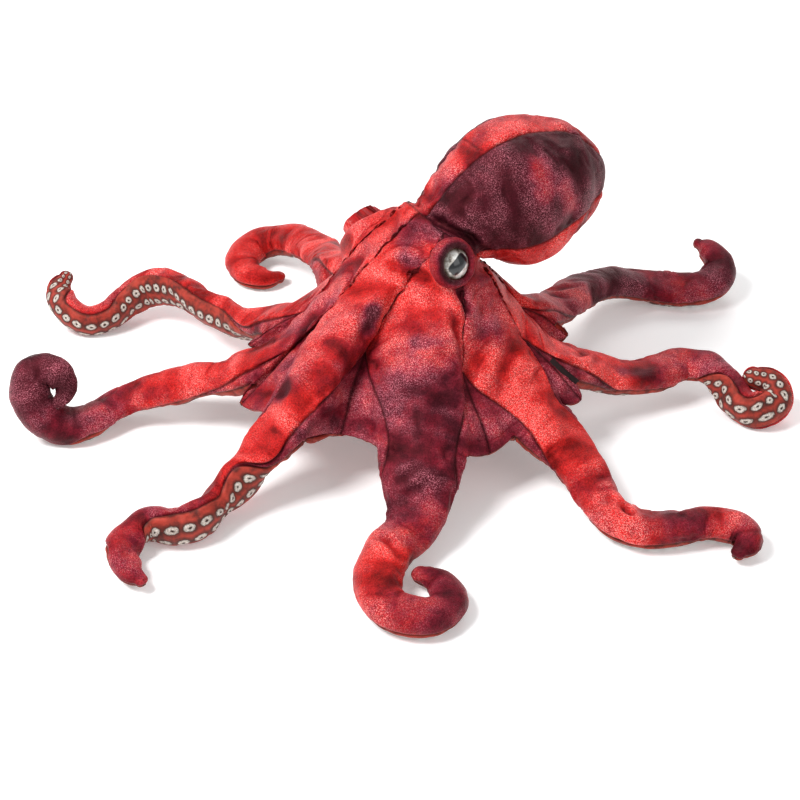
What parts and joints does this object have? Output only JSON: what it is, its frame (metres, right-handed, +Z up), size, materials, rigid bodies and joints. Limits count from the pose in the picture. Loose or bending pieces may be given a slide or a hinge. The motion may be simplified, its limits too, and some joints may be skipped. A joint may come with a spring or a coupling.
{
  "type": "octopus hand puppet",
  "caption": "Stuffed velour octopus hand puppet with a bulbous mantle, moulded eyes, curling arms printed with suckers underneath, and a lined hand opening below.",
  "frame": {"origin": "on the floor, at the centre of the hand opening under the head", "axes": "+Z up, +X to the right in the view across the front, where the mantle leans, -Y towards the front arm"},
  "size_m": [0.757, 0.6452, 0.2792],
  "materials": {
    "red_velour": "crushed",
    "dark_velour": "crushed",
    "purple_velour": "crushed",
    "sucker_print": "printed",
    "lining": "plain",
    "elastic": "ribbed",
    "woven_tab": "woven",
    "eye_plastic": "clear over silver",
    "washer_plastic": "moulded",
    "lid_velour": "crushed",
    "fibre_fill": "loose"
  },
  "bodies": {
    "root": {"hood_gores": "red_velour", "web_gussets": "dark_velour", "base_panel": "sucker_print", "hand_pocket": "lining", "opening_elastic": "elastic", "side_tab": "woven_tab", "eyes": "eye_plastic", "eye_washers": "washer_plastic", "eyelids": "lid_velour"},
    "mantle": {"mantle_gores": "red_velour", "mantle_side_panels": "purple_velour", "mantle_stuffing": "fibre_fill"},
    "arm_1": {"arm_1_top": "red_velour", "arm_1_underside": "sucker_print", "arm_1_stuffing": "fibre_fill"},
    "arm_2": {"arm_2_top": "red_velour", "arm_2_underside": "sucker_print", "arm_2_stuffing": "fibre_fill"},
    "arm_3": {"arm_3_top": "red_velour", "arm_3_underside": "sucker_print", "arm_3_stuffing": "fibre_fill"},
    "arm_4": {"arm_4_top": "red_velour", "arm_4_underside": "sucker_print", "arm_4_stuffing": "fibre_fill"},
    "arm_5": {"arm_5_top": "red_velour", "arm_5_underside": "sucker_print", "arm_5_stuffing": "fibre_fill"},
    "arm_6": {"arm_6_top": "red_velour", "arm_6_underside": "sucker_print", "arm_6_stuffing": "fibre_fill"},
    "arm_7": {"arm_7_top": "red_velour", "arm_7_underside": "sucker_print", "arm_7_stuffing": "fibre_fill"},
    "arm_8": {"arm_8_top": "red_velour", "arm_8_underside": "sucker_print", "arm_8_stuffing": "fibre_fill"},
    "tip_1": {"tip_1_top": "red_velour", "tip_1_underside": "sucker_print", "tip_1_stuffing": "fibre_fill"},
    "tip_2": {"tip_2_top": "red_velour", "tip_2_underside": "sucker_print", "tip_2_stuffing": "fibre_fill"},
    "tip_3": {"tip_3_top": "red_velour", "tip_3_underside": "sucker_print", "tip_3_stuffing": "fibre_fill"},
    "tip_4": {"tip_4_top": "red_velour", "tip_4_underside": "sucker_print", "tip_4_stuffing": "fibre_fill"},
    "tip_5": {"tip_5_top": "red_velour", "tip_5_underside": "sucker_print", "tip_5_stuffing": "fibre_fill"},
    "tip_6": {"tip_6_top": "red_velour", "tip_6_underside": "sucker_print", "tip_6_stuffing": "fibre_fill"},
    "tip_7": {"tip_7_top": "red_velour", "tip_7_underside": "sucker_print", "tip_7_stuffing": "fibre_fill"},
    "tip_8": {"tip_8_top": "red_velour", "tip_8_underside": "sucker_print", "tip_8_stuffing": "fibre_fill"}
  },
  "joints": [
    {"name": "mantle_nod", "type": "hinge", "parent": "root", "child": "mantle", "pos_m": [0.012, 0.012, 0.185], "axis": [0.4384, -0.8988, 0], "range_deg": [0, 25]},
    {"name": "arm_1_root_bend", "type": "hinge", "parent": "root", "child": "arm_1", "pos_m": [-0.013, -0.192, 0.04], "axis": [-0.9927, 0.1207, 0], "range_deg": [-25, 45]},
    {"name": "arm_2_root_bend", "type": "hinge", "parent": "root", "child": "arm_2", "pos_m": [-0.15, -0.151, 0.054], "axis": [-0.6485, 0.7612, 0], "range_deg": [-25, 45]},
    {"name": "arm_3_root_bend", "type": "hinge", "parent": "root", "child": "arm_3", "pos_m": [-0.185, -0.043, 0.061], "axis": [0.1461, 0.9893, 0], "range_deg": [-25, 45]},
    {"name": "arm_4_root_bend", "type": "hinge", "parent": "root", "child": "arm_4", "pos_m": [-0.161, 0.033, 0.07], "axis": [0.6391, 0.7691, 0], "range_deg": [-25, 45]},
    {"name": "arm_5_root_bend", "type": "hinge", "parent": "root", "child": "arm_5", "pos_m": [-0.095, 0.121, 0.087], "axis": [0.9487, 0.3162, 0], "range_deg": [-25, 45]},
    {"name": "arm_6_root_bend", "type": "hinge", "parent": "root", "child": "arm_6", "pos_m": [0.112, 0.048, 0.074], "axis": [0.7964, -0.6048, 0], "range_deg": [-25, 45]},
    {"name": "arm_7_root_bend", "type": "hinge", "parent": "root", "child": "arm_7", "pos_m": [0.15, -0.023, 0.053], "axis": [0.2968, -0.9549, 0], "range_deg": [-25, 45]},
    {"name": "arm_8_root_bend", "type": "hinge", "parent": "root", "child": "arm_8", "pos_m": [0.117, -0.131, 0.043], "axis": [-0.6998, -0.7144, 0], "range_deg": [-25, 45]},
    {"name": "arm_1_mid_bend", "type": "hinge", "parent": "arm_1", "child": "tip_1", "pos_m": [-0.048, -0.294, 0.017], "axis": [-0.998, -0.0634, 0], "range_deg": [-35, 40]},
    {"name": "arm_2_mid_bend", "type": "hinge", "parent": "arm_2", "child": "tip_2", "pos_m": [-0.207, -0.211, 0.02], "axis": [-0.6422, 0.7665, 0], "range_deg": [-35, 40]},
    {"name": "arm_3_mid_bend", "type": "hinge", "parent": "arm_3", "child": "tip_3", "pos_m": [-0.303, -0.038, 0.02], "axis": [-0.4251, 0.9051, 0], "range_deg": [-35, 40]},
    {"name": "arm_4_mid_bend", "type": "hinge", "parent": "arm_4", "child": "tip_4", "pos_m": [-0.262, 0.135, 0.046], "axis": [0.6332, 0.774, 0], "range_deg": [-35, 40]},
    {"name": "arm_5_mid_bend", "type": "hinge", "parent": "arm_5", "child": "tip_5", "pos_m": [-0.163, 0.271, 0.031], "axis": [0.6111, 0.7916, 0], "range_deg": [-35, 40]},
    {"name": "arm_6_mid_bend", "type": "hinge", "parent": "arm_6", "child": "tip_6", "pos_m": [0.196, 0.173, 0.032], "axis": [0.5758, -0.8176, 0], "range_deg": [-35, 40]},
    {"name": "arm_7_mid_bend", "type": "hinge", "parent": "arm_7", "child": "tip_7", "pos_m": [0.25, 0.015, 0.032], "axis": [0.1674, -0.9859, 0], "range_deg": [-35, 40]},
    {"name": "arm_8_mid_bend", "type": "hinge", "parent": "arm_8", "child": "tip_8", "pos_m": [0.164, -0.211, 0.018], "axis": [-0.6783, -0.7348, 0], "range_deg": [-35, 40]}
  ]
}
